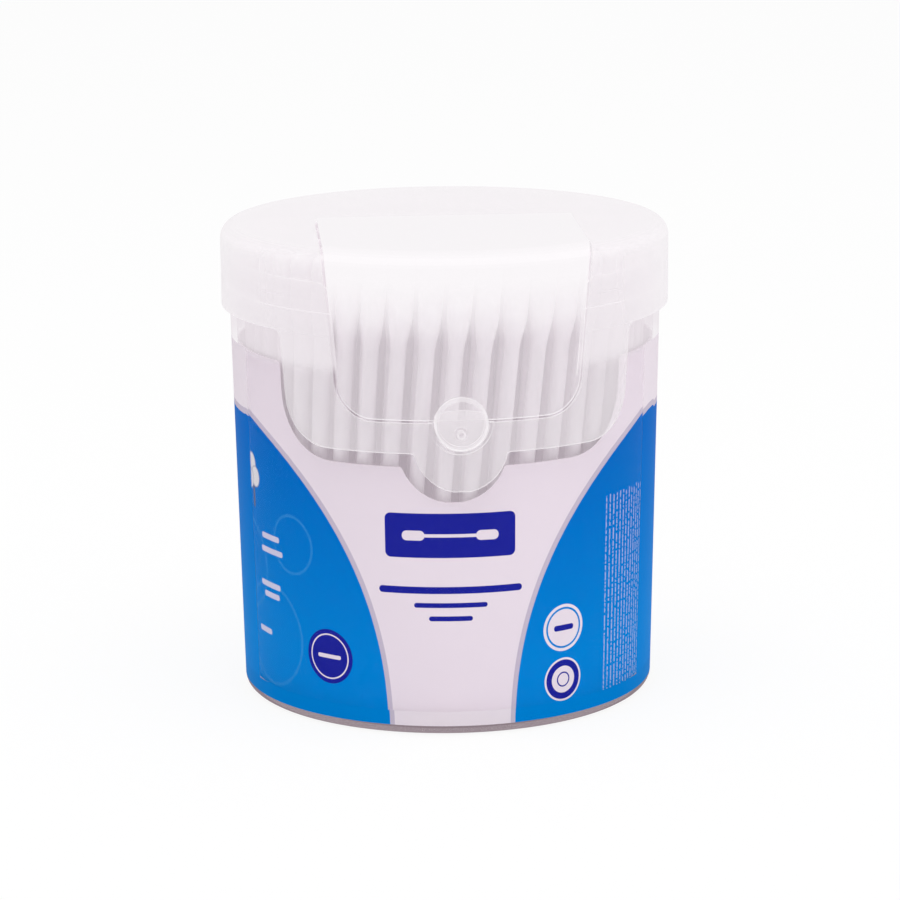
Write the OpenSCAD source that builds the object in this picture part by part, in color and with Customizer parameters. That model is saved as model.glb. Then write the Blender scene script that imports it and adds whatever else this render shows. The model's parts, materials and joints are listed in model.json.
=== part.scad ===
// Cotton swab tub: a clear cup, a printed card sleeve, a milky snap lid with a tip-up flap,
// and the swabs that stand in it.
// Millimetres, +Z up, origin at the centre of the base on the table. The flap faces -Y.

/* [Swabs] */
// Number of rings that the swabs stand in
swab_rings = 8; // [6:1:9]
// Length of a swab from tip to tip
swab_len = 77.4; // [70:0.2:84]
// Diameter of a stick
stick_d = 2.6; // [2:0.1:2.8]
// Diameter of a cotton tip
tip_d = 4.1; // [3.8:0.1:5]
// Length of a cotton tip
tip_len = 15; // [11:0.5:16]
// Length of the part of a tip that has its full diameter, with its round end
tip_full_len = 8.6; // [5:0.2:9]
// Thickness of the cotton where a tip ends on its stick
tip_end_t = 0.3; // [0.2:0.05:0.5]
// Cotton over the end of the stick
tip_cover = 1.2; // [0.8:0.1:2]
// Turn of the bundle from its foot to its head, in degrees
bundle_twist = 13; // [4:0.5:14]
// How much more the right side of the bundle turns than its middle, in degrees
bundle_swing = 3; // [0:0.2:3]
// How much wider the bundle stands at its head than at its foot
bundle_fan = 1.05; // [1.05:0.001:1.054]
// How far single heads stray from their place
head_stray = 0.08; // [0:0.01:0.08]

/* [Cup] */
// Wall thickness of the cup
cup_wall = 1; // [0.8:0.05:1.3]
// Draft of the wall, in degrees
cup_draft = 1.16; // [0.6:0.02:1.5]
// How far the wall's top stands out past the neck
shoulder_w = 0.14; // [0.08:0.02:0.3]
// Height of the neck above its ledge
neck_h = 5; // [4:0.2:6]
// How far the ledge that the lid sits on stands out past the neck
ledge_out = 0.5; // [0.4:0.05:0.7]
// Height of the ledge
ledge_h = 0.8; // [0.6:0.1:1.2]
// Height of the floor's upper side above the table
floor_top_z = 3; // [2.6:0.1:4]
// Thickness of the floor
floor_t = 1.1; // [0.9:0.1:1.4]
// Width of the foot ring
foot_w = 2.6; // [2:0.1:4]
// Rounding of the outer edge of the base
base_edge_r = 1.7; // [1.2:0.1:2.2]
// Fillet between the floor and the wall
floor_fillet_r = 0.3; // [0.2:0.05:0.5]
// Half width of the front notch at the rim, measured round the wall
notch_half_w = 22.4; // [20:0.2:23]
// Rounding of the notch where it turns into the rim
notch_rim_r = 3; // [2:0.2:4]

/* [Card] */
// Thickness of the card
card_t = 0.35; // [0.25:0.05:0.45]
// Turn of the card against the flap, in degrees
card_turn = -1.9; // [-4:0.1:4]
// Strip of clear wall between the lid's skirt and the card
card_show = 6.1; // [4:0.1:8]
// Half width of the window at the card's top edge, measured round the card
window_half_w = 32.8; // [31.5:0.2:35]
// How much narrower the window is at its foot, on each side
window_taper = 0.9; // [0:0.1:2]
// Rounding of the window's lower corners
window_corner_r = 11.5; // [8:0.5:13]
// Strip of bare cup between the apron and the window's lower edge
window_show = 2.9; // [2:0.1:4]
// Half width of the dip under the tongue, measured round the card
dip_half_w = 8.6; // [8:0.1:10]
// Depth of the dip
dip_h = 6; // [5:0.1:8]
// Gap where the card's ends meet at the back
seam_w = 0.6; // [0.4:0.1:1.2]

/* [Lid] */
// Thickness of the lid's top
lid_t = 0.8; // [0.7:0.05:1.1]
// Height of the lid's side
skirt_h = 14.1; // [12:0.1:16]
// Wall thickness of the skirt below the ledge
skirt_wall = 0.8; // [0.7:0.05:1]
// How far the skirt reaches below the top of the ledge
skirt_lap = 3.6; // [3:0.1:5]
// Rounding of the lid's upper edge
lid_edge_r = 2.6; // [2:0.1:3]
// Height of the snap beads above the ledge
bead_z = 2.4; // [2:0.1:3]
// How far each snap bead stands out of its wall
bead_out = 0.1; // [0.05:0.01:0.11]
// Height of a snap bead
bead_h = 0.6; // [0.4:0.1:0.8]
// How far the apron's face lies behind the skirt's
apron_step = 0.2; // [0.1:0.05:0.3]
// Half width of the apron at the skirt, measured round the lid
apron_half_w = 33.1; // [32:0.1:35]
// How much narrower the apron is at its foot, on each side
apron_taper = 2; // [1:0.1:3]
// Rounding of the apron's lower corners
apron_corner_r = 9; // [7:0.5:10]
// Fillet between the apron's sides and the skirt
apron_root_r = 1.6; // [1:0.1:2]
// Height of the apron's band below the flap
band_h = 5.6; // [4:0.1:6]
// Half width of the tongue where it leaves the apron
tongue_half_w = 7.7; // [7:0.1:8]
// Height of the tongue
tongue_h = 6.5; // [5:0.1:7.6]

/* [Flap] */
// Half width of the flap at the top, measured round the lid
flap_half_w = 23.4; // [21:0.2:25]
// How much narrower the flap is at its foot, on each side
flap_taper = 2.8; // [2:0.1:3.5]
// Height of the flap's front
flap_h = 27.7; // [26:0.1:30]
// Rounding of the flap's lower corners
flap_corner_r = 6.5; // [5:0.5:8]
// Wall thickness of the flap
flap_wall = 0.7; // [0.6:0.05:0.8]
// Thickness of the flap's top plate
flap_t = 0.9; // [0.8:0.05:1.1]
// How far the flap's top plate stands proud of the lid
flap_proud = 0.5; // [0.3:0.05:0.6]
// How far the bending line lies behind the tub's axis
hinge_y = 1; // [0:0.2:4]
// Thickness of the web at the bending line
web_t = 0.2; // [0.16:0.02:0.24]
// Length of the thinned web in front of the bending line
web_len = 1.2; // [1.1:0.05:1.6]
// Radius of the finger tab
tab_r = 4.45; // [4:0.05:5]
// Thickness of the finger tab
tab_t = 0.95; // [0.8:0.05:1]
// How far the finger tab stands proud of the flap
tab_proud = 0.3; // [0.2:0.05:0.4]
// Width of the finger tab's raised rim
tab_rim_w = 0.7; // [0.5:0.1:1]
// Depth of the dish inside the tab's rim
tab_dish = 0.25; // [0.15:0.05:0.35]
// Radius of the snap pip behind the tab
pip_r = 0.7; // [0.5:0.05:0.9]
// Length of the snap pip
pip_len = 0.5; // [0.4:0.05:0.6]
// How far the pip lies below the tab's centre
pip_drop = 1.95; // [1.6:0.05:2.2]
// How far the lip behind the tab rises above the opening's lower edge
lip_h = 2; // [1.5:0.1:2.5]
// Radius of the lip's upper edge
lip_r = 13; // [10:1:20]

/* [Clearances] */
// Between the neck and the lid
lid_gap = 0.3; // [0.24:0.02:0.4]
// Between the ledge and the skirt
ledge_gap = 0.2; // [0.15:0.01:0.3]
// Between the lid's seat and the ledge it rests on
seat_gap = 0.05; // [0.02:0.01:0.1]
// Between the lid's snap bead and the cup's, one above the other
bead_apart = 0.1; // [0.05:0.01:0.2]
// Between the flap and its opening
flap_gap = 0.5; // [0.3:0.05:0.7]
// Between the web and the lid at the bending line
web_gap = 0.25; // [0.22:0.01:0.3]
// Between the tab, or the flap, and the lid's wall behind it
tab_gap = 0.25; // [0.2:0.01:0.3]
// Between the pip and its hole
pip_gap = 0.45; // [0.4:0.01:0.5]
// Between the cup and the card
card_gap = 0.1; // [0.08:0.01:0.15]
// Between the swabs and the card
swab_gap = 0.2; // [0.15:0.01:0.3]
// Between the cup's floor and what stands on it
floor_gap = 0.1; // [0.05:0.01:0.2]
// Between the swabs and the lid above them
head_room = 0.4; // [0.3:0.05:1]
// Between one ring's cotton tips and the next ring's
tip_gap = 0.06; // [0.05:0.01:0.15]

/* [Hidden] */

$fn = 96;
swab_fn = 16;
edge_r = 0.2;     // fine rounding of a moulded edge
rim_round_r = 0.35;
fillet_r = 0.8;   // small fillets of the die-cut and moulded outlines
cut = 60;         // reach of a cutting prism
eps = 0.01;

// Heights, from the table up
swab_z = floor_top_z + floor_gap;
lid_under_z = swab_z + swab_len + head_room;
lid_top_z = lid_under_z + lid_t;
flap_top_z = lid_top_z + flap_proud;
skirt_z = lid_top_z - skirt_h;
ledge_top_z = skirt_z + skirt_lap;
ledge_low_z = ledge_top_z - ledge_h;
rim_z = ledge_top_z + neck_h;
flap_low_z = flap_top_z - flap_h;
opening_z = flap_low_z - flap_gap;
apron_z = flap_low_z - band_h;
tongue_z = apron_z - tongue_h;
window_z = apron_z - window_show;
card_z = floor_top_z + floor_fillet_r + floor_gap;
card_top_z = skirt_z - card_show;
tab_z = opening_z;
pip_z = tab_z - pip_drop;

// Rings of swabs: they set the inside of the card, and that sets the cup
tip_r = tip_d / 2;
inner_ring_r = 0.72 * tip_d;
ring_pitch = tip_d + tip_gap;
outer_ring_r = inner_ring_r + (swab_rings - 1) * ring_pitch;
ring_turn = 37;   // degrees between the starts of neighbouring rings
stray_turn = 137; // degrees that spread the strays evenly

tip_end_r = stick_d / 2 + tip_end_t;

function ring_r(k) = inner_ring_r + k * ring_pitch;
function ring_count(k) = 4 + 6 * k;

// Radii, from the bundle out
card_in_r = outer_ring_r + tip_r + swab_gap;
wall_low_r = card_in_r + card_t + card_gap + cup_wall;
wall_top_r = wall_low_r + (ledge_low_z - floor_top_z) * tan(cup_draft);
neck_r = wall_top_r - shoulder_w;
lid_in_r = neck_r + lid_gap;
ledge_r = neck_r + ledge_out;
skirt_in_r = ledge_r + ledge_gap;
lid_r = skirt_in_r + skirt_wall;
apron_r = lid_r - apron_step;
flap_in_r = lid_r - flap_wall;
tab_out_r = lid_r + tab_proud;
tab_in_r = tab_out_r - tab_t;
pocket_r = min(tab_in_r, flap_in_r) - tab_gap;
pocket_wall = 0.55;
pocket_rim_w = 0.7;
notch_taper = flap_taper;
notch_corner_r = flap_corner_r;
plate_half_w = lid_r * sin(flap_half_w / lid_r * 180 / PI);

function wall_r(z) = wall_top_r - (ledge_low_z - z) * tan(cup_draft);
function card_out_r(z) = wall_r(z) - cup_wall - card_gap;

// A path is a list of [x, y, r] corners. It comes back as a closed outline, rounded by r.
function unit(v) = v / norm(v);
function corner_steps(r) = r > 4 ? 12 : r > 1 ? 7 : 4;
function corner(p, q, n) = q[2] == 0 ? [[q[0], q[1]]] :
    let (u = unit([p[0] - q[0], p[1] - q[1]]),
         v = unit([n[0] - q[0], n[1] - q[1]]),
         half = acos(u * v) / 2,
         c = [q[0], q[1]] + unit(u + v) * q[2] / sin(half),
         s = [q[0], q[1]] + u * q[2] / tan(half) - c,
         e = [q[0], q[1]] + v * q[2] / tan(half) - c,
         a = atan2(s[1], s[0]),
         sweep = (atan2(e[1], e[0]) - a + 540) % 360 - 180,
         steps = corner_steps(q[2]))
    [for (i = [0:steps]) c + q[2] * [cos(a + sweep * i / steps), sin(a + sweep * i / steps)]];
function rounded(path) = let (n = len(path))
    [for (i = [0:n - 1]) each corner(path[(i + n - 1) % n], path[i], path[(i + 1) % n])];

// Lays an outline measured round a wall of radius r flat onto the front plane
function wrapped(outline, r) = [for (p = outline) [r * sin(p[0] / r * 180 / PI), p[1]]];

// The left half of a path follows from its right half, which runs from the top down
function both_sides(half_path) = concat(half_path,
    [for (i = [len(half_path) - 1:-1:0]) [-half_path[i][0], half_path[i][1], half_path[i][2]]]);

// A round tongue of half width w and height h below an edge at z, from right to middle
function tongue_half(w, h, z) =
    let (r = (w * w + h * h) / (2 * h),
         lift = asin((r - h) / r),
         steps = 8)
    [for (i = [0:steps - 1]) let (t = -lift - i * (90 - lift) / steps)
        [r * cos(t), z - h + r + r * sin(t), i == 0 ? fillet_r : 0]];

// A prism that stands on the front plane at y and reaches forward
module forward(outline, y = 0, reach = cut) {
    translate([0, y, 0]) rotate([90, 0, 0]) linear_extrude(reach) polygon(outline);
}

// A round bar that points forward through a front wall
module forward_pin(r, z, y_far, y_near) {
    translate([0, y_near, z]) rotate([90, 0, 0]) cylinder(r = r, h = y_near - y_far);
}

// A wall between two radii and two heights
module ring(r_in, r_out, z_low, z_high) {
    rotate_extrude() polygon([[r_in, z_low], [r_out, z_low], [r_out, z_high], [r_in, z_high]]);
}

// Outline of the flap, grown by gap on every side
function flap_outline(gap) = wrapped(rounded(both_sides([
    [flap_half_w + gap, flap_top_z + 1, 0],
    [flap_half_w + gap - flap_taper * (flap_top_z + 1 - flap_low_z + gap) / flap_h,
     flap_low_z - gap, flap_corner_r + gap]])), lid_r);

// The notch lies just outside the lid's opening, so that its edge hides behind the opening's
module notch_cut() {
    drop = rim_z - opening_z;
    forward(wrapped(rounded(both_sides([
        [notch_half_w + 2 * notch_rim_r, rim_z + 2, 0],
        [notch_half_w + 2 * notch_rim_r, rim_z + eps, 0],
        [notch_half_w, rim_z + eps, notch_rim_r],
        [notch_half_w - notch_taper * drop / flap_h, opening_z - 2 * eps, notch_corner_r]])), neck_r));
}

module cup() {
    foot_in_r = wall_r(0) - base_edge_r - foot_w;
    profile = rounded([
        [0, floor_top_z - floor_t, 0],
        [foot_in_r - edge_r, floor_top_z - floor_t, edge_r],
        [foot_in_r, 0, edge_r],
        [wall_r(0), 0, base_edge_r],
        [wall_top_r, ledge_low_z, 0],
        [ledge_r, ledge_low_z, edge_r],
        [ledge_r, ledge_top_z, edge_r],
        [neck_r, ledge_top_z, 0],
        [neck_r, ledge_top_z + bead_z, 0],
        [neck_r + bead_out, ledge_top_z + bead_z + bead_h / 2, 0],
        [neck_r, ledge_top_z + bead_z + bead_h, 0],
        [neck_r, rim_z, rim_round_r],
        [wall_top_r - cup_wall, rim_z, rim_round_r],
        [wall_top_r - cup_wall, ledge_low_z, 0],
        [wall_r(floor_top_z) - cup_wall, floor_top_z, floor_fillet_r],
        [0, floor_top_z, 0]]);
    color([0.9, 0.9, 0.92, 0.35]) difference() {
        rotate_extrude() polygon(profile);
        notch_cut();
    }
}

module label_card() {
    window = concat(
        [[window_half_w + 2, card_top_z + 1, 0],
         [window_half_w + 2, card_top_z + eps, 0],
         [window_half_w, card_top_z + eps, fillet_r],
         [window_half_w - window_taper, window_z, window_corner_r]],
        tongue_half(dip_half_w, dip_h, window_z));
    color([0.9, 0.88, 0.9]) rotate([0, 0, card_turn]) difference() {
        rotate_extrude() polygon([
            [card_out_r(card_z) - card_t, card_z],
            [card_out_r(card_z), card_z],
            [card_out_r(card_top_z), card_top_z],
            [card_out_r(card_top_z) - card_t, card_top_z]]);
        forward(wrapped(rounded(both_sides(window)), card_out_r(window_z)));
        translate([-seam_w / 2, 0, 0]) cube([seam_w, cut, cut + card_top_z]);
    }
}

// The lid's top and skirt, with the seat that rests on the cup's ledge and the snap bead over it
module lid_shell() {
    seat_z = ledge_top_z + seat_gap;
    bead_low_z = seat_z + bead_z - bead_h - bead_apart;
    profile = rounded([
        [0, lid_under_z, 0],
        [0, lid_top_z, 0],
        [lid_r, lid_top_z, lid_edge_r],
        [lid_r, skirt_z, edge_r],
        [skirt_in_r, skirt_z, edge_r],
        [skirt_in_r, seat_z, 0],
        [lid_in_r, seat_z, 0],
        [lid_in_r, bead_low_z, 0],
        [lid_in_r - bead_out, bead_low_z + bead_h / 2, 0],
        [lid_in_r, bead_low_z + bead_h, 0],
        [lid_in_r, lid_under_z, lid_edge_r - lid_t]]);
    rotate_extrude() polygon(profile);
}

// The apron hangs from the skirt over the card's window and ends in the tongue
module apron() {
    path = concat(
        [[apron_half_w + 2 * apron_root_r, skirt_z + 1, 0],
         [apron_half_w + 2 * apron_root_r, skirt_z, 0],
         [apron_half_w, skirt_z, apron_root_r],
         [apron_half_w - apron_taper, apron_z, apron_corner_r]],
        tongue_half(tongue_half_w, tongue_h, apron_z));
    intersection() {
        ring(skirt_in_r, apron_r, tongue_z - 1, skirt_z + 1);
        forward(wrapped(rounded(both_sides(path)), apron_r));
    }
}

// Thicker wall behind the finger tab, which the tab's pocket is sunk into
module tab_backing() {
    intersection() {
        ring(pocket_r - pocket_wall, apron_r, tab_z - 2 * tab_r, tab_z + tab_r);
        forward_pin(tab_r + tab_gap + pocket_rim_w, tab_z, -cut, 0);
    }
}

// The opening in the lid's top, skirt and apron, with the round lip left behind the tab
module flap_opening() {
    difference() {
        forward(flap_outline(flap_gap), hinge_y + web_gap);
        intersection() {
            forward_pin(lip_r, opening_z + lip_h - lip_r, -cut, -skirt_in_r / 2);
            forward_pin(tab_r, tab_z, -cut, -skirt_in_r / 2);
        }
    }
}

module tab_pocket() {
    intersection() {
        ring(pocket_r, cut, tab_z - 2 * tab_r, tab_z + 2 * tab_r);
        forward_pin(tab_r + tab_gap, tab_z, -cut, 0);
    }
}

module lid() {
    color([0.93, 0.92, 0.93, 0.7]) difference() {
        union() {
            lid_shell();
            apron();
            tab_backing();
        }
        flap_opening();
        tab_pocket();
        forward_pin(pip_r + pip_gap, pip_z, -cut, -skirt_in_r / 2);
        translate([-plate_half_w, hinge_y, lid_under_z - 1])
            cube([2 * plate_half_w, web_len, lid_t - web_t + 1]);
    }
}

// The round finger tab with its raised rim, its dish and the snap pip behind it
module finger_tab() {
    difference() {
        intersection() {
            ring(tab_in_r, tab_out_r, tab_z - 2 * tab_r, tab_z + 2 * tab_r);
            forward_pin(tab_r, tab_z, -cut, 0);
        }
        intersection() {
            ring(tab_out_r - tab_dish, cut, tab_z - 2 * tab_r, tab_z + 2 * tab_r);
            forward_pin(tab_r - tab_rim_w, tab_z, -cut, 0);
        }
    }
    forward_pin(pip_r, pip_z, -tab_in_r - tab_t / 3, -tab_in_r + pip_len);
}

module flap() {
    profile = rounded([
        [0, flap_top_z - flap_t, 0],
        [0, flap_top_z, 0],
        [lid_r, flap_top_z, lid_edge_r],
        [lid_r, flap_low_z - 1, 0],
        [flap_in_r, flap_low_z - 1, 0],
        [flap_in_r, flap_top_z - flap_t, lid_edge_r - flap_t]]);
    color([0.93, 0.92, 0.93, 0.5]) union() {
        intersection() {
            rotate_extrude() polygon(profile);
            forward(flap_outline(0), hinge_y - web_len);
        }
        translate([-plate_half_w, hinge_y - web_len - eps, lid_top_z - web_t])
            cube([2 * plate_half_w, web_len + eps, web_t]);
        finger_tab();
    }
}

// Stands one child at each swab's place, its foot on the floor and its head leaning with the bundle
module each_swab() {
    for (k = [0:swab_rings - 1]) {
        for (i = [0:ring_count(k) - 1]) {
            place = 360 * i / ring_count(k) + ring_turn * k;
            turn = bundle_twist + bundle_swing * cos(place);
            stray = head_stray * [cos(stray_turn * (i + 9 * k)), sin(stray_turn * (i + 5 * k))];
            foot = ring_r(k) * [cos(place), sin(place)];
            head = ring_r(k) * bundle_fan * [cos(place + turn), sin(place + turn)] + stray;
            across = head - foot;
            translate([foot[0], foot[1], swab_z])
                rotate([0, asin(norm(across) / swab_len), atan2(across[1], across[0])])
                    children();
        }
    }
}

module stick() {
    translate([0, 0, tip_cover]) cylinder(d = stick_d, h = swab_len - 2 * tip_cover, $fn = swab_fn);
}

// A wound cotton tip with its round end at the origin and a blind hole for the stick
module cotton_tip() {
    difference() {
        union() {
            translate([0, 0, tip_r]) sphere(r = tip_r, $fn = swab_fn);
            translate([0, 0, tip_r]) cylinder(r = tip_r, h = tip_full_len - tip_r, $fn = swab_fn);
            translate([0, 0, tip_full_len])
                cylinder(r1 = tip_r, r2 = tip_end_r, h = tip_len - tip_full_len, $fn = swab_fn);
        }
        translate([0, 0, tip_cover]) cylinder(d = stick_d, h = tip_len, $fn = swab_fn);
    }
}

module swab_sticks() {
    color([0.93, 0.92, 0.94]) each_swab() stick();
}

module bottom_cotton_tips() {
    color([0.97, 0.96, 0.96]) each_swab() cotton_tip();
}

module top_cotton_tips() {
    color([0.97, 0.96, 0.96]) each_swab()
        translate([0, 0, swab_len]) mirror([0, 0, 1]) cotton_tip();
}

cup();
label_card();
lid();
flap();
swab_sticks();
bottom_cotton_tips();
top_cotton_tips();
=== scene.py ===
import json
import math

import bmesh
import bpy
from mathutils import Matrix, Vector


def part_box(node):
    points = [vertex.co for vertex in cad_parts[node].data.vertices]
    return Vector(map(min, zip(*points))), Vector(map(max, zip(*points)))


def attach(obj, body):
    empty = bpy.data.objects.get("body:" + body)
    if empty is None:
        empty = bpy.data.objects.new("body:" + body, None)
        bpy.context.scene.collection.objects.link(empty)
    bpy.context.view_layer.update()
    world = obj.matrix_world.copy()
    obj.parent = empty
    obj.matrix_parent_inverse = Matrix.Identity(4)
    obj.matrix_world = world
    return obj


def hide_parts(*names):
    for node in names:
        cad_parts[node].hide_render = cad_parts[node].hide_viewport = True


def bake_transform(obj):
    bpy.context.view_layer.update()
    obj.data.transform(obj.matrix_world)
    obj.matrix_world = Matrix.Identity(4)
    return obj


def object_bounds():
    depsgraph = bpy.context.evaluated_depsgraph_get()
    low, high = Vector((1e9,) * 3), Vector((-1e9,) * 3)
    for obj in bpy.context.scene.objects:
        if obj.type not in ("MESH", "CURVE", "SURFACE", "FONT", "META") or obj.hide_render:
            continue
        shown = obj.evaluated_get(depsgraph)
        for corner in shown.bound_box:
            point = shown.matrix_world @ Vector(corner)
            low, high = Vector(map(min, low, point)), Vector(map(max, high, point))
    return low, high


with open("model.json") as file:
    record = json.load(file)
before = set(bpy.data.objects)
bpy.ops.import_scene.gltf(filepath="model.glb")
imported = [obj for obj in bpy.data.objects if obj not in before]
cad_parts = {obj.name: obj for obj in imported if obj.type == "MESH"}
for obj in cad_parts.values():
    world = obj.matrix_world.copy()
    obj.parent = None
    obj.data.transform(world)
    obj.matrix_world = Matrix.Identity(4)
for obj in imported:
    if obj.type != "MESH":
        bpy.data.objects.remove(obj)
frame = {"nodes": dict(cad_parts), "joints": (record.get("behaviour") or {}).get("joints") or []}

cadLow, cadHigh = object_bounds()
nodes = frame["nodes"]
print("tub loaded:", ", ".join(sorted(nodes)))


# the view of the photograph, around a tub whose flap is turned a little to the right
camera = {
    "away": 0.57573,      # along the floor, from the tub's axis
    "height": 0.17522,
    "tubTurn": 3.8,       # degrees
    "pitch": 13.15,
    "yaw": 0.068,
    "roll": -0.501,
    "lens": 135.36,
}


def addCamera(c):
    turn = math.radians(c["tubTurn"])
    yaw, pitch, roll = (math.radians(c[k]) for k in ("yaw", "pitch", "roll"))
    yaw += turn
    ahead = Vector((math.sin(yaw) * math.cos(pitch), math.cos(yaw) * math.cos(pitch), -math.sin(pitch)))
    right = Vector((math.cos(yaw), -math.sin(yaw), 0))
    up = right.cross(ahead)
    leanRight = right * math.cos(roll) + up * math.sin(roll)
    leanUp = up * math.cos(roll) - right * math.sin(roll)
    lens = bpy.data.cameras.new("tubCamera")
    lens.sensor_width = 36
    lens.lens = c["lens"]
    lens.clip_start = 0.01
    holder = bpy.data.objects.new("tubCamera", lens)
    place = Matrix((leanRight, leanUp, -ahead)).transposed().to_4x4()
    place.translation = (-c["away"] * math.sin(turn), -c["away"] * math.cos(turn), c["height"])
    holder.matrix_world = place
    bpy.context.scene.collection.objects.link(holder)
    bpy.context.scene.camera = holder


addCamera(camera)
bpy.context.scene.view_settings.view_transform = "Standard"
print("camera set")


# short calls for the nodes of one material or sky
class Wires:
    def __init__(self, owner):
        owner.use_nodes = True
        self.owner = owner
        self.tree = owner.node_tree

    def add(self, kind, settings=None, **sockets):
        node = self.tree.nodes.new(kind)
        for key, value in (settings or {}).items():
            setattr(node, key, value)
        for key, value in sockets.items():
            self.feed(node.inputs[key.replace("_", " ")], value)
        return node

    def feed(self, socket, value):
        if isinstance(value, bpy.types.NodeSocket):
            self.tree.links.new(value, socket)
        else:
            socket.default_value = value

    def math(self, operation, *values):
        node = self.tree.nodes.new("ShaderNodeMath")
        node.operation = operation
        for socket, value in zip(node.inputs, values):
            self.feed(socket, value)
        return node.outputs[0]

    def vector(self, operation, *values):
        node = self.tree.nodes.new("ShaderNodeVectorMath")
        node.operation = operation
        for socket, value in zip(node.inputs, values):
            self.feed(socket, value)
        return node.outputs["Value" if operation in ("LENGTH", "DISTANCE", "DOT_PRODUCT") else "Vector"]

    def mix(self, share, first, second):
        node = self.tree.nodes.new("ShaderNodeMix")
        node.data_type = "RGBA"
        self.feed(node.inputs["Factor"], share)
        self.feed(node.inputs["A"], first)
        self.feed(node.inputs["B"], second)
        return node.outputs["Result"]

    def spread(self, value, low, high, newLow, newHigh):
        node = self.add("ShaderNodeMapRange", None, From_Min=low, From_Max=high,
                        To_Min=newLow, To_Max=newHigh)
        self.feed(node.inputs["Value"], value)
        return node.outputs["Result"]

    def place(self):
        return self.add("ShaderNodeTexCoord").outputs["Object"]

    def part(self, vector, axis):
        return self.add("ShaderNodeSeparateXYZ", None, Vector=vector).outputs[axis]

    def noise(self, scale, detail=2.0, stretch=(1, 1, 1)):
        place = self.place()
        if stretch != (1, 1, 1):
            place = self.vector("MULTIPLY", place, stretch)
        return self.add("ShaderNodeTexNoise", None, Vector=place, Scale=scale, Detail=detail).outputs["Fac"]

    def bump(self, height, distance, strength):
        node = self.add("ShaderNodeBump", None, Height=height, Distance=distance, Strength=strength)
        return node.outputs["Normal"]

    def shaderMix(self, share, first, second):
        node = self.tree.nodes.new("ShaderNodeMixShader")
        self.feed(node.inputs[0], share)
        self.feed(node.inputs[1], first)
        self.feed(node.inputs[2], second)
        return node.outputs[0]

    def finish(self, shader):
        self.tree.links.new(shader, self.add("ShaderNodeOutputMaterial").inputs["Surface"])
        return self.owner


def blankMaterial(name):
    w = Wires(bpy.data.materials.new(name))
    w.tree.nodes.clear()
    return w


def shade(red, green, blue):
    # a colour as a paint shop would name it, 0 to 255, in the renderer's own measure
    parts = [v / 255 for v in (red, green, blue)]
    return tuple(p / 12.92 if p <= 0.04045 else ((p + 0.055) / 1.055) ** 2.4 for p in parts) + (1.0,)


def dress(node, material):
    mesh = nodes[node].data
    mesh.materials.clear()
    mesh.materials.append(material)


# swab sticks and cotton
swabs = {
    "stick": (240, 236, 239),
    "cotton": (252, 250, 251),
    "cottonShade": (244, 240, 243),
    "streakDepth": 6,      # how much darker the sticks' streaks are
    "throughLight": 0.37,  # share of light that the thin white pieces let through
    "paintedGlow": 0.14,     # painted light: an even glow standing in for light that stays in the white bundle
    "paintedGlowColour": (1, 0.97, 0.99, 1),
    "shine": 0.2,
    "fibre": 0.00012,
    "headsAbove": 0.05,
    "thinning": (0.0648, 0.0715),   # heights between which a head's cotton thins out on its stick
}


def whiteBundle(w, colour, roughness, normal, p):
    # painted light: the solid part carries a small even emission that brightens the white bundle
    solid = w.add("ShaderNodeBsdfPrincipled", None, Base_Color=colour, Roughness=roughness,
                  Specular_IOR_Level=p["shine"], Emission_Color=p["paintedGlowColour"],
                  Emission_Strength=p["paintedGlow"])
    if normal:
        w.feed(solid.inputs["Normal"], normal)
    through = w.add("ShaderNodeBsdfTranslucent", None, Color=colour).outputs[0]
    return w.finish(w.shaderMix(p["throughLight"], solid.outputs[0], through))


def stickPlastic(p):
    w = blankMaterial("whiteStick")
    streak = w.noise(500, 0, (1, 1, 0.06))
    streakColour = shade(*[c - p["streakDepth"] for c in p["stick"]])
    colour = w.mix(w.spread(streak, 0.3, 0.7, 0, 1), shade(*p["stick"]), streakColour)
    return whiteBundle(w, colour, w.spread(streak, 0, 1, 0.3, 0.5), None, p)


def woundCotton(p):
    w = blankMaterial("woundCotton")
    fibres = w.noise(1500, 2, (1, 1, 0.5))
    lumps = w.noise(420, 0)
    colour = w.mix(w.spread(lumps, 0.35, 0.7, 0, 1), shade(*p["cotton"]), shade(*p["cottonShade"]))
    height = w.part(w.place(), "Z")
    thin = w.math("MULTIPLY", w.math("GREATER_THAN", height, p["headsAbove"]),
                  w.spread(height, *p["thinning"], 1, 0))
    colour = w.mix(thin, colour, shade(*p["stick"]))
    return whiteBundle(w, colour, w.spread(fibres, 0, 1, 0.8, 1.0), w.bump(fibres, p["fibre"], 0.6), p)


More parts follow.
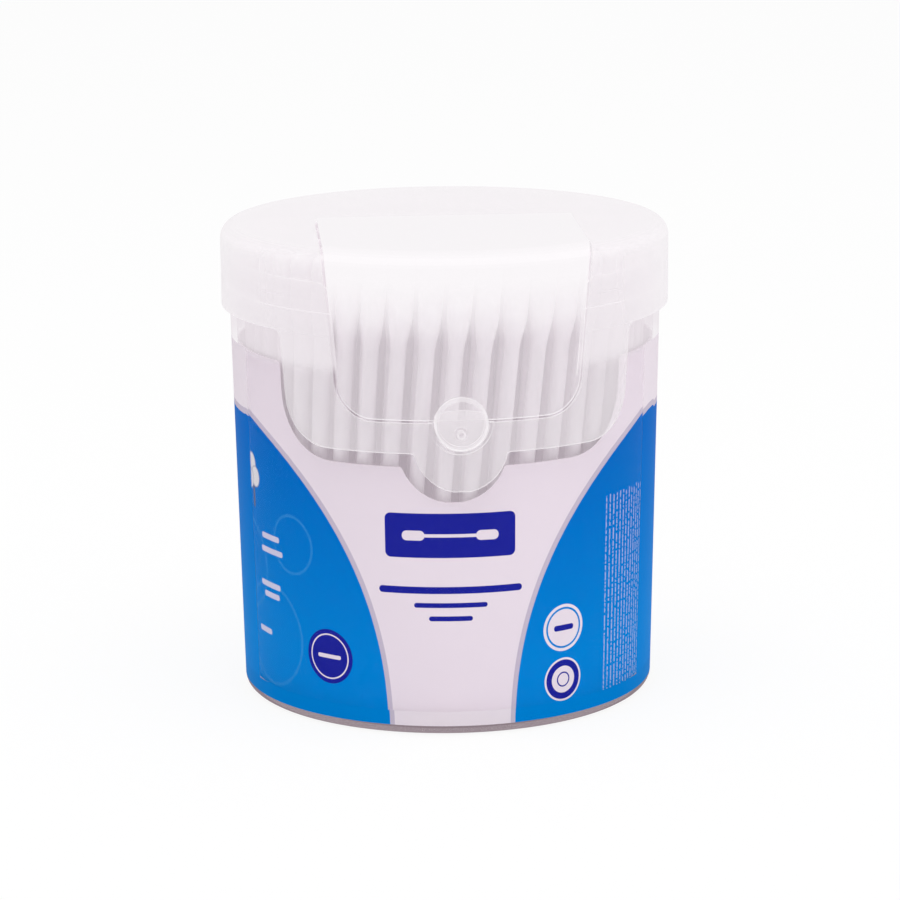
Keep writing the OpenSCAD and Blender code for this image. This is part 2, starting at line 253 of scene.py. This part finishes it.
# the printed card; places are millimetres round the card from its middle, and up from the table,
# followed by a radius, or by half the width, half the height and the corners' rounding
card = {
    "turn": -1.9,              # degrees against the flap
    "radius": 35.4,
    "white": (232, 222, 230),
    "blueLow": (0, 130, 212),
    "blueHigh": (0, 104, 194),
    "line": (196, 186, 203),
    "navy": (30, 36, 150),
    "paleBlue": (70, 155, 214),
    "leftMiddle": 83.2,        # degrees from the card's middle to each blue field's middle
    "rightMiddle": 81.5,
    "wallShift": 1.048,        # the wall's radius over the card's
    "fieldHalf": 64.5,
    "fieldTop": 50.6,
    "fieldBulge": 2.1,
    "deepens": (12, 48),       # heights between which the blue deepens
    "lineWidth": 0.045,
    "gloss": 0.0,
    "plate": (-0.6, 34.4, 11.0, 3.8, 1.0),
    "bars": [(-0.6, 25.0, 12.2, 0.6), (-0.6, 22.4, 6.2, 0.42), (-0.6, 20.1, 3.7, 0.42)],
    "disc": (-22.8, 11.9, 4.75),
    "seals": [(19.8, 16.7, 4.1), (19.8, 7.6, 3.8)],
    "paleLoops": [(-38, 13, 9), (-47, 24, 8), (-31, 30, 5), (-52, 8, 6)],
    "paleBars": [(-37.5, 30.0, 3.0), (-37.2, 27.6, 3.6), (-38.0, 21.5, 3.4), (-37.6, 19.7, 2.6),
                 (-40.5, 13.0, 2.4)],
    "boll": [(-44.4, 41.6, 2.0), (-42.7, 39.6, 1.8), (-45.5, 39.0, 1.9)],
    "stalk": (-43.6, 36.0, 0.45, 1.9, 0.4),
    "dashes": (39.5, 20.5, 10.5, 17.5, 1.0),
    "dashPitch": 1.05,
}


def roundTheCard(w, c):
    parts = w.add("ShaderNodeSeparateXYZ", None, Vector=w.place()).outputs
    angle = w.math("ARCTAN2", parts["X"], w.math("MULTIPLY", parts["Y"], -1.0))
    degrees = w.math("SUBTRACT", w.math("MULTIPLY", angle, 180 / math.pi), c["turn"])
    return degrees, w.math("MULTIPLY", parts["Z"], 1000.0)


def refractedCardPlace(w, c, degrees):
    # what of the card lies behind a place on the wall, from the front or the back
    around = w.math("MULTIPLY", w.math("ADD", degrees, c["turn"]), math.pi / 180)
    front = w.math("ARCSINE", w.math("MULTIPLY", w.math("SINE", around), c["wallShift"]))
    back = w.math("SUBTRACT", w.math("MULTIPLY", w.math("SIGN", around), math.pi), front)
    behind = w.math("LESS_THAN", w.math("COSINE", around), 0.0)
    place = w.math("MULTIPLY_ADD", behind, w.math("SUBTRACT", back, front), front)
    return w.math("SUBTRACT", w.math("MULTIPLY", place, 180 / math.pi), c["turn"])


def fieldShare(w, c, degrees, height):
    # below 1 inside the blue fields, one with an arched edge on each side
    leftSide = w.math("LESS_THAN", degrees, 0.0)
    middle = w.spread(leftSide, 0, 1, c["rightMiddle"], c["leftMiddle"])
    side = w.math("DIVIDE", w.math("SUBTRACT", middle, w.math("ABSOLUTE", degrees)), c["fieldHalf"])
    return w.math("ADD", w.math("POWER", w.math("ABSOLUTE", side), c["fieldBulge"]),
                  w.math("POWER", w.math("DIVIDE", height, c["fieldTop"]), c["fieldBulge"]))


def fieldColour(w, c, degrees, height):
    arch = fieldShare(w, c, degrees, height)
    blue = w.mix(w.spread(height, *c["deepens"], 0, 1), shade(*c["blueLow"]), shade(*c["blueHigh"]))
    colour = w.mix(w.math("LESS_THAN", arch, 1 + c["lineWidth"]), shade(*c["white"]), shade(*c["line"]))
    return w.mix(w.math("LESS_THAN", arch, 1.0), colour, blue)


def printedCard(c):
    w = blankMaterial("printedCard")
    degrees, height = roundTheCard(w, c)
    around = w.math("MULTIPLY", degrees, c["radius"] * math.pi / 180)
    point = w.add("ShaderNodeCombineXYZ", None, X=around, Y=height).outputs[0]

    def plate(x, y, halfWidth, halfHeight, corner):
        off = w.vector("ABSOLUTE", w.vector("SUBTRACT", point, (x, y, 0)))
        past = w.vector("SUBTRACT", off, (halfWidth - corner, halfHeight - corner, 0))
        return w.math("LESS_THAN", w.vector("LENGTH", w.vector("MAXIMUM", past, (0, 0, 0))), corner)

    def away(x, y):
        return w.vector("DISTANCE", point, (x, y, 0))

    def disc(x, y, radius):
        return w.math("LESS_THAN", away(x, y), radius)

    def loop(x, y, radius, width):
        return w.math("COMPARE", away(x, y), radius, width / 2)

    def both(first, second):
        return w.math("MULTIPLY", first, second)

    white, navy, pale = shade(*c["white"]), shade(*c["navy"]), shade(*c["paleBlue"])
    blue = shade(*c["blueLow"])
    blueField = w.math("LESS_THAN", fieldShare(w, c, degrees, height), 1.0)
    colour = fieldColour(w, c, degrees, height)
    # large pale loops on the left field
    for x, y, radius in c["paleLoops"]:
        colour = w.mix(both(w.math("MULTIPLY", loop(x, y, radius, 0.5), 0.4), blueField), colour, pale)
    # short pale bars on the left field
    for x, y, halfWidth in c["paleBars"]:
        colour = w.mix(w.math("MULTIPLY", plate(x, y, halfWidth, 0.5, 0.4), 0.75), colour, white)
    # a cotton boll on its stalk at the left field's far side
    colour = w.mix(w.math("MULTIPLY", plate(*c["stalk"]), 0.7), colour, shade(118, 108, 96))
    for x, y, radius in c["boll"]:
        colour = w.mix(disc(x, y, radius), colour, shade(222, 220, 224))
        colour = w.mix(w.math("MULTIPLY", loop(x, y, radius, 0.3), 0.5), colour, shade(150, 150, 170))
    # rows of fine dashes on the right field
    rows = w.math("LESS_THAN", w.math("FRACT", w.math("DIVIDE", around, c["dashPitch"])), 0.3)
    dashes = w.math("GREATER_THAN", w.add("ShaderNodeTexNoise", None, Scale=1.0, Detail=2.0, Vector=w.vector(
        "MULTIPLY", point, (0.95, 1.6, 0))).outputs["Fac"], 0.46)
    panel = plate(*c["dashes"])
    colour = w.mix(w.math("MULTIPLY", both(both(rows, dashes), both(panel, blueField)), 0.45), colour, white)
    # the navy plate with a plain swab on it, and three bars below
    colour = w.mix(plate(*c["plate"]), colour, navy)
    x, y = c["plate"][:2]
    colour = w.mix(plate(x, y, 6.6, 0.28, 0.2), colour, white)
    for end in (-6.2, 6.2):
        colour = w.mix(plate(x + end, y, 1.9, 0.85, 0.8), colour, white)
    for x, y, halfWidth, halfHeight in c["bars"]:
        colour = w.mix(plate(x, y, halfWidth, halfHeight, halfHeight * 0.98), colour, navy)
    # the disc on the left and the two round seals on the right
    x, y, radius = c["disc"]
    colour = w.mix(disc(x, y, radius), colour, navy)
    colour = w.mix(loop(x, y, radius - 0.9, 0.25), colour, white)
    colour = w.mix(plate(x, y, 2.4, 0.35, 0.3), colour, white)
    (x, y, radius), (lowX, lowY, lowRadius) = c["seals"]
    colour = w.mix(disc(x, y, radius), colour, white)
    colour = w.mix(loop(x, y, radius - 0.7, 0.35), colour, blue)
    colour = w.mix(plate(x, y, 2.0, 0.5, 0.45), colour, navy)
    colour = w.mix(disc(lowX, lowY, lowRadius), colour, white)
    colour = w.mix(loop(lowX, lowY, lowRadius - 0.9, 1.1), colour, navy)
    colour = w.mix(loop(lowX, lowY, 1.2, 0.25), colour, navy)
    # the back of the card is bare board
    outwards = w.vector("DOT_PRODUCT", w.add("ShaderNodeNewGeometry").outputs["Normal"],
                        w.vector("MULTIPLY", w.place(), (1, 1, 0)))
    fleck = w.noise(700, 2)
    board = w.mix(w.spread(fleck, 0.3, 0.7, 0, 1), shade(240, 234, 238), shade(232, 225, 229))
    colour = w.mix(w.math("GREATER_THAN", outwards, 0.0), board, colour)
    colour = w.mix(w.spread(fleck, 0.4, 0.8, 0, 0.012), colour, shade(150, 140, 150))
    roughness = w.spread(fleck, 0, 1, 0.38, 0.5)
    body = w.add("ShaderNodeBsdfPrincipled", None, Base_Color=colour, Roughness=roughness,
                 Specular_IOR_Level=c["gloss"])
    return w.finish(body.outputs[0])


# see-through plastics: cloud is the milky share that one face shows when looked at squarely;
# part of it is a painted glow, an emission standing in for light spreading inside the wall, and
# at the top of the walls more painted glow hides what lies behind, standing in for light from above
clearPlastic = {
    "cloud": 0.0008, "paintedGlow": 0.0, "colour": (238, 231, 236),
    "gloss": 0.05, "mirror": 0.08, "squareMirror": 0.0005,
    "paintedEdgeColour": (255, 250, 253), "paintedEdgeLight": 1.0, "edgesAbove": 0.06,
    "paintedTopGlow": 0.55, "paintedTopGlowFrom": 0.0607, "paintedTopGlowFull": 0.0627,
    "baseTintBelow": 0.0033, "baseTint": (194, 184, 189), "paintsRefractedPrint": True,
}
milkyLid = {
    "cloud": 0.24, "paintedGlow": 0.4, "colour": (250, 247, 249),
    "gloss": 0.25, "mirror": 0.25, "squareMirror": 0.004,
    "paintedEdgeColour": (250, 246, 249), "paintedEdgeLight": 0.6, "edgesAbove": 0.0,
    "paintedTopGlow": 0.3, "paintedTopGlowFrom": 0.074, "paintedTopGlowFull": 0.0805,
    "baseTintBelow": 0.0, "paintsRefractedPrint": False,
}
milkyFlap = {
    "cloud": 0.16, "paintedGlow": 0.3, "colour": (253, 250, 252),
    "gloss": 0.18, "mirror": 0.25, "squareMirror": 0.004,
    "paintedEdgeColour": (253, 250, 252), "paintedEdgeLight": 0.9, "edgesAbove": 0.0,
    "paintedTopGlow": 0.85, "paintedTopGlowFrom": 0.0672, "paintedTopGlowFull": 0.0775,
    "baseTintBelow": 0.0, "paintsRefractedPrint": False,
}
moulding = {
    "lidTop": 0.0785,           # above this height the walls lie flat
    "tint": (0.99, 0.985, 0.99, 1),
    "flow": (0.93, 1.07),       # mould flow marks, as a share of the cloud
    "narrow": 0.55,             # a face turned away by more than this is an edge
    "paintedHighlightTilt": 0.45,           # painted highlight: the glow is strongest on rounded upper edges
    "paintedEdgeGlow": 1.02,
    "paintedFaceGlow": 0.975,
    "paintedInsideShade": -0.09,       # painted shade: faces on the inside glow less
    "paintedTopGlowRise": 1.3,
}
tab = {
    "height": 0.054, "radius": 0.00445, "rimCloud": 0.35,
    "holeRadius": 0.004, "holeDrop": 0.00025, "discCloud": 0.11,
    "pip": 0.05205, "pipRadius": 0.0006, "pipWidth": 0.00032, "pipCloud": 0.45,
}
# painted refraction: the card's print painted on the clear wall where the wall would bend the view onto the
# card; heights are millimetres
paintedRefraction = {
    "slant": (0.645, 0.665),    # out to the outline from where a face is turned this far
    "low": 1.7, "high": 62.3,
    "windowHalf": 52.0,         # degrees, and the height of the window's foot
    "windowFoot": 46.0,
    "stripLow": 1.68, "stripHigh": 4.22,
    "stripShade": 0.1, "sideShade": 0.03,
}


def between(w, value, low, high):
    return w.math("COMPARE", value, (low + high) / 2, (high - low) / 2)


def tabCloud(w, place, t):
    # the finger tab's rim is thicker at the top than below, and a small pip sits behind it
    front = w.vector("MULTIPLY", place, (1, 0, 1))
    disc = w.math("LESS_THAN", w.vector("DISTANCE", front, (0, 0, t["height"])), t["radius"])
    rim = w.math("GREATER_THAN", w.vector("DISTANCE", front, (0, 0, t["height"] - t["holeDrop"])),
                 t["holeRadius"])
    pip = w.math("COMPARE", w.vector("DISTANCE", front, (0, 0, t["pip"])), t["pipRadius"], t["pipWidth"] / 2)
    cloud = w.math("MULTIPLY", disc, w.spread(rim, 0, 1, t["discCloud"], t["rimCloud"]))
    return w.math("MAXIMUM", cloud, w.math("MULTIPLY", pip, t["pipCloud"]))


def paintedRefractedPrint(w, c, slant):
    # painted refraction: the card's fields of colour as the wall would show them, darkened by painted shade
    # that is deepest in the strip at the foot, and the share of the wall's outer face that shows them
    degrees, height = roundTheCard(w, card)
    fields = fieldColour(w, card, refractedCardPlace(w, card, degrees), height)
    shadow = w.spread(height, 4, 5, c["stripShade"], c["sideShade"])
    board = w.add("ShaderNodeBsdfDiffuse", None, Color=w.mix(shadow, fields, (0, 0, 0, 1))).outputs[0]
    besideWindow = w.math("GREATER_THAN", w.math("ABSOLUTE", degrees), c["windowHalf"])
    belowWindow = w.math("LESS_THAN", height, c["windowFoot"])
    behind = w.math("MULTIPLY", between(w, height, c["low"], c["high"]),
                    w.math("MAXIMUM", besideWindow, belowWindow))
    outline = w.math("MULTIPLY", w.spread(slant, *c["slant"], 0, 1), behind)
    return board, w.math("MAXIMUM", outline, between(w, height, c["stripLow"], c["stripHigh"]))


def seeThroughPlastic(name, p, m):
    w = blankMaterial(name)
    milk = shade(*p["colour"])
    place = w.place()
    height = w.part(place, "Z")
    geometry = w.add("ShaderNodeNewGeometry").outputs
    normal = w.add("ShaderNodeVectorTransform", {
        "vector_type": "NORMAL", "convert_from": "WORLD", "convert_to": "OBJECT"},
        Vector=geometry["Normal"]).outputs[0]
    outwards = w.vector("NORMALIZE", w.vector("MULTIPLY", place, (1, 1, 0)))
    sideways = w.vector("DOT_PRODUCT", normal, outwards)
    upwards = w.part(normal, "Z")
    frontFace = w.math("SUBTRACT", 1.0, geometry["Backfacing"])
    # the milk in one wall, which hides more the more it is looked at aslant
    slant = w.add("ShaderNodeLayerWeight", None, Blend=0.5).outputs["Facing"]
    squareness = w.math("MAXIMUM", w.math("SUBTRACT", 1.0, slant), 0.06)
    flow = w.spread(w.noise(60, 0), 0.3, 0.7, *m["flow"])
    openShare = w.math("MULTIPLY", w.math("SUBTRACT", 1.0, tabCloud(w, place, tab)), 1 - p["cloud"])
    clearness = w.math("POWER", openShare, w.math("DIVIDE", flow, squareness))
    outside = w.add("ShaderNodeBsdfDiffuse", None, Color=milk).outputs[0]
    through = w.add("ShaderNodeBsdfTranslucent", None, Color=milk).outputs[0]
    # painted shading of the glow: a painted highlight on rounded upper edges, painted shade on faces on the
    # inside
    inside = w.math("MULTIPLY", w.math("LESS_THAN", w.math("MINIMUM", sideways, upwards), -0.6), frontFace)
    fromEdge = w.math("ABSOLUTE", w.math("SUBTRACT", upwards, m["paintedHighlightTilt"]))
    glow = w.spread(fromEdge, 0, 0.45, m["paintedEdgeGlow"], m["paintedFaceGlow"])
    glow = w.math("MULTIPLY_ADD", inside, m["paintedInsideShade"], glow)
    # painted light: an emission in the milk colour, standing in for light spreading inside the wall
    paintedGlowShader = w.add("ShaderNodeEmission", None, Color=milk, Strength=glow).outputs[0]
    cloud = w.shaderMix(p["paintedGlow"], w.shaderMix(0.4, outside, through), paintedGlowShader)
    tint = m["tint"]
    if p["baseTintBelow"]:
        # the walls are tinted darker at the heavy base
        tint = w.mix(w.math("LESS_THAN", height, p["baseTintBelow"]), tint, shade(*p["baseTint"]))
    body = w.shaderMix(clearness, cloud, w.add("ShaderNodeBsdfTransparent", None, Color=tint).outputs[0])
    # painted light: towards the top of the walls the painted glow takes over, standing in for light from
    # above
    paintedTopGlowShare = w.math("POWER", w.spread(height, p["paintedTopGlowFrom"], p["paintedTopGlowFull"], 0, 1), m["paintedTopGlowRise"])
    body = w.shaderMix(w.math("MULTIPLY", paintedTopGlowShare, p["paintedTopGlow"]), body, paintedGlowShader)
    # painted light: narrow edges glow with an emission, standing in for the light that runs along inside a
    # wall
    flat = w.math("MULTIPLY", w.math("ABSOLUTE", upwards), w.math("GREATER_THAN", height, m["lidTop"]))
    edge = w.math("LESS_THAN", w.math("MAXIMUM", w.math("ABSOLUTE", sideways), flat), m["narrow"])
    edge = w.math("MULTIPLY", edge, w.math("GREATER_THAN", height, p["edgesAbove"]))
    paintedEdgeGlow = w.add("ShaderNodeEmission", None, Color=shade(*p["paintedEdgeColour"]), Strength=1.0).outputs[0]
    body = w.shaderMix(w.math("MULTIPLY", edge, p["paintedEdgeLight"]), body, paintedEdgeGlow)
    # painted refraction: the wall's outer face shows the card's print near the outline and in the strip at
    # the foot
    if p["paintsRefractedPrint"]:
        board, share = paintedRefractedPrint(w, paintedRefraction, slant)
        outerFace = w.math("MULTIPLY", w.math("GREATER_THAN", sideways, 0.8), frontFace)
        body = w.shaderMix(w.math("MULTIPLY", share, outerFace), body, board)
    mirror = w.add("ShaderNodeBsdfGlossy", None, Roughness=p["gloss"]).outputs[0]
    share = w.math("MULTIPLY_ADD", w.math("POWER", slant, 5.0), p["mirror"], p["squareMirror"])
    return w.finish(w.shaderMix(share, body, mirror))


dress("cup", seeThroughPlastic("clearPlastic", clearPlastic, moulding))
dress("lid", seeThroughPlastic("milkyPlastic", milkyLid, moulding))
flapPlastic = seeThroughPlastic("milkyFlap", milkyFlap, moulding)
dress("flap", flapPlastic)
dress("label_card", printedCard(card))
dress("swab_sticks", stickPlastic(swabs))
cotton = woundCotton(swabs)
dress("bottom_cotton_tips", cotton)
dress("top_cotton_tips", cotton)
print("frame pieces dressed")


# the thin web that the flap bends on
hinge = {"overlap": 0.0002, "gap": 0.00045, "thick": 0.0003, "inset": 0.0002, "steps": 8}


def addHingeWeb(h):
    joint = next(j for j in frame["joints"] if j["name"] == "flap_hinge")
    axisY, axisZ = joint["pos_m"][1:]
    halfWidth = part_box("flap")[1].x - h["inset"]
    shape = bmesh.new()
    rings = []
    for i in range(h["steps"] + 1):
        y = axisY - h["overlap"] + (h["gap"] + h["overlap"]) * i / h["steps"]
        rings.append([shape.verts.new((x, y, axisZ + z)) for x, z in (
            (-halfWidth, -h["thick"] / 2), (halfWidth, -h["thick"] / 2),
            (halfWidth, h["thick"] / 2), (-halfWidth, h["thick"] / 2))])
    for near, far in zip(rings, rings[1:]):
        for k in range(4):
            shape.faces.new((near[k], near[(k + 1) % 4], far[(k + 1) % 4], far[k]))
    shape.faces.new(rings[0])
    shape.faces.new(rings[-1])
    bmesh.ops.recalc_face_normals(shape, faces=shape.faces)
    mesh = bpy.data.meshes.new("hinge_web")
    shape.to_mesh(mesh)
    shape.free()
    web = bpy.data.objects.new("hinge_web", mesh)
    bpy.context.scene.collection.objects.link(web)
    mesh.materials.append(flapPlastic)
    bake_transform(web)


addHingeWeb(hinge)
print("hinge web added")


# wound cotton heads, one on each stick, with a softer shape than the construction model's
bundle = {
    "rings": 8, "firstRing": 2.952, "ringPitch": 4.16,   # millimetres
    "ringTurn": 37, "twist": 13, "swing": 3, "fan": 1.05,
    "stray": 0.08, "strayTurn": 137,
    "length": 77.4, "foot": 3.1,
}
head = {"radius": 2.08, "neckRadius": 1.32, "fullTo": 9.0, "length": 15.8, "lumps": 0.03, "around": 20}


def swabAxes(b):
    for k in range(b["rings"]):
        count = 4 + 6 * k
        radius = b["firstRing"] + k * b["ringPitch"]
        for i in range(count):
            place = 2 * math.pi * i / count + math.radians(b["ringTurn"] * k)
            turned = place + math.radians(b["twist"] + b["swing"] * math.cos(place))
            foot = Vector((radius * math.cos(place), radius * math.sin(place), b["foot"]))
            top = Vector((radius * b["fan"] * math.cos(turned), radius * b["fan"] * math.sin(turned), 0))
            top.x += b["stray"] * math.cos(math.radians(b["strayTurn"] * (i + 9 * k)))
            top.y += b["stray"] * math.sin(math.radians(b["strayTurn"] * (i + 5 * k)))
            across = (top - foot).xy.length
            top.z = b["foot"] + math.sqrt(b["length"] ** 2 - across ** 2)
            yield foot, top


def headRadius(down, h):
    if down < h["radius"]:
        return math.sqrt(max(h["radius"] ** 2 - (h["radius"] - down) ** 2, 0))
    if down < h["fullTo"]:
        return h["radius"]
    t = min((down - h["fullTo"]) / (h["length"] - h["fullTo"]), 1)
    return h["radius"] + (h["neckRadius"] - h["radius"]) * t * t * (3 - 2 * t)


def addCottonHeads(b, h):
    steps = [0.1, 0.35, 0.8, 1.4, 2.1, 3.6, 5.4, 7.2, 9.0, 10.1, 11.2, 12.3, 13.4, 14.5, h["length"]]
    points, faces = [], []
    for number, (foot, top) in enumerate(swabAxes(b)):
        down = (foot - top).normalized()
        side = down.cross(Vector((0, 1, 0))).normalized()
        fore = down.cross(side)
        start = len(points)
        points.append(top)
        wave = number * 2.399
        for t in steps:
            radius = headRadius(t, h)
            for j in range(h["around"]):
                a = 2 * math.pi * j / h["around"]
                lump = math.sin(2 * a + wave + 0.5 * t) + 0.6 * math.sin(3 * a - 1.7 * wave - 0.9 * t)
                r = radius * (1 + h["lumps"] * (lump - 1.6) / 3.2 * min(t, 2))
                points.append(top + down * t + side * (r * math.cos(a)) + fore * (r * math.sin(a)))
        for j in range(h["around"]):
            after = (j + 1) % h["around"]
            faces.append((start, start + 1 + after, start + 1 + j))
            for ring in range(len(steps) - 1):
                low = start + 1 + ring * h["around"]
                faces.append((low + j, low + after, low + h["around"] + after, low + h["around"] + j))
    mesh = bpy.data.meshes.new("cotton_heads")
    mesh.from_pydata([p / 1000 for p in points], [], faces)
    mesh.polygons.foreach_set("use_smooth", [True] * len(mesh.polygons))
    mesh.materials.append(cotton)
    piece = bpy.data.objects.new("cotton_heads", mesh)
    bpy.context.scene.collection.objects.link(piece)
    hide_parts("top_cotton_tips")
    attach(piece, "tub")


addCottonHeads(bundle, head)
print("cotton heads added")


# pale studio: a white floor that stays white to the eye, a white sky and two soft lamps
studio = {
    "sky": 0.84,        # seen by the tub; the eye sees plain white
    "floorSize": 6.0,
    "paper": [(0.9, 0.9, 0.9, 1), (0.88, 0.88, 0.88, 1)],
    "floorGlow": 0.88,  # share of the floor that shows as plain white
    "lamps": [
        {"name": "topLamp", "at": (-0.05, -0.3, 0.9), "size": 0.8, "watts": 3.15},
        {"name": "sideLamp", "at": (0.9, -0.5, 0.45), "size": 0.5, "watts": 1.1},
    ],
}


def addFloor(s):
    w = blankMaterial("paleFloor")
    path = w.add("ShaderNodeLightPath").outputs
    seen = w.math("MAXIMUM", path["Is Camera Ray"],
                  w.math("MAXIMUM", path["Is Glossy Ray"], path["Is Transmission Ray"]))
    paper = w.mix(w.spread(w.noise(3, 2), 0.3, 0.7, 0, 1), *s["paper"])
    matte = w.add("ShaderNodeBsdfDiffuse", None, Color=paper).outputs[0]
    glow = w.add("ShaderNodeEmission", None, Strength=1.0).outputs[0]
    floorMaterial = w.finish(w.shaderMix(w.math("MULTIPLY", seen, s["floorGlow"]), matte, glow))
    half = s["floorSize"] / 2
    mesh = bpy.data.meshes.new("floor")
    corners = [(-half, -half, 0), (half, -half, 0), (half, half, 0), (-half, half, 0)]
    mesh.from_pydata(corners, [], [(0, 1, 2, 3)])
    floor = bpy.data.objects.new("floor", mesh)
    mesh.materials.append(floorMaterial)
    bpy.context.scene.collection.objects.link(floor)


def addSky(s):
    w = Wires(bpy.data.worlds.new("whiteSky"))
    path = w.add("ShaderNodeLightPath").outputs
    plain = w.math("MAXIMUM", path["Is Camera Ray"], path["Is Transmission Ray"])
    background = w.tree.nodes["Background"]
    background.inputs["Color"].default_value = (1, 1, 1, 1)
    w.feed(background.inputs["Strength"], w.spread(plain, 0, 1, s["sky"], 1.0))
    bpy.context.scene.world = w.owner


def addLamps(s):
    for lamp in s["lamps"]:
        light = bpy.data.lights.new(lamp["name"], "AREA")
        light.size = lamp["size"]
        light.energy = lamp["watts"]
        holder = bpy.data.objects.new(lamp["name"], light)
        holder.location = lamp["at"]
        aim = Vector((0, 0, cadHigh.z / 2)) - Vector(lamp["at"])
        holder.rotation_euler = aim.to_track_quat("-Z", "Y").to_euler()
        bpy.context.scene.collection.objects.link(holder)


addFloor(studio)
addSky(studio)
addLamps(studio)
print("studio lit")
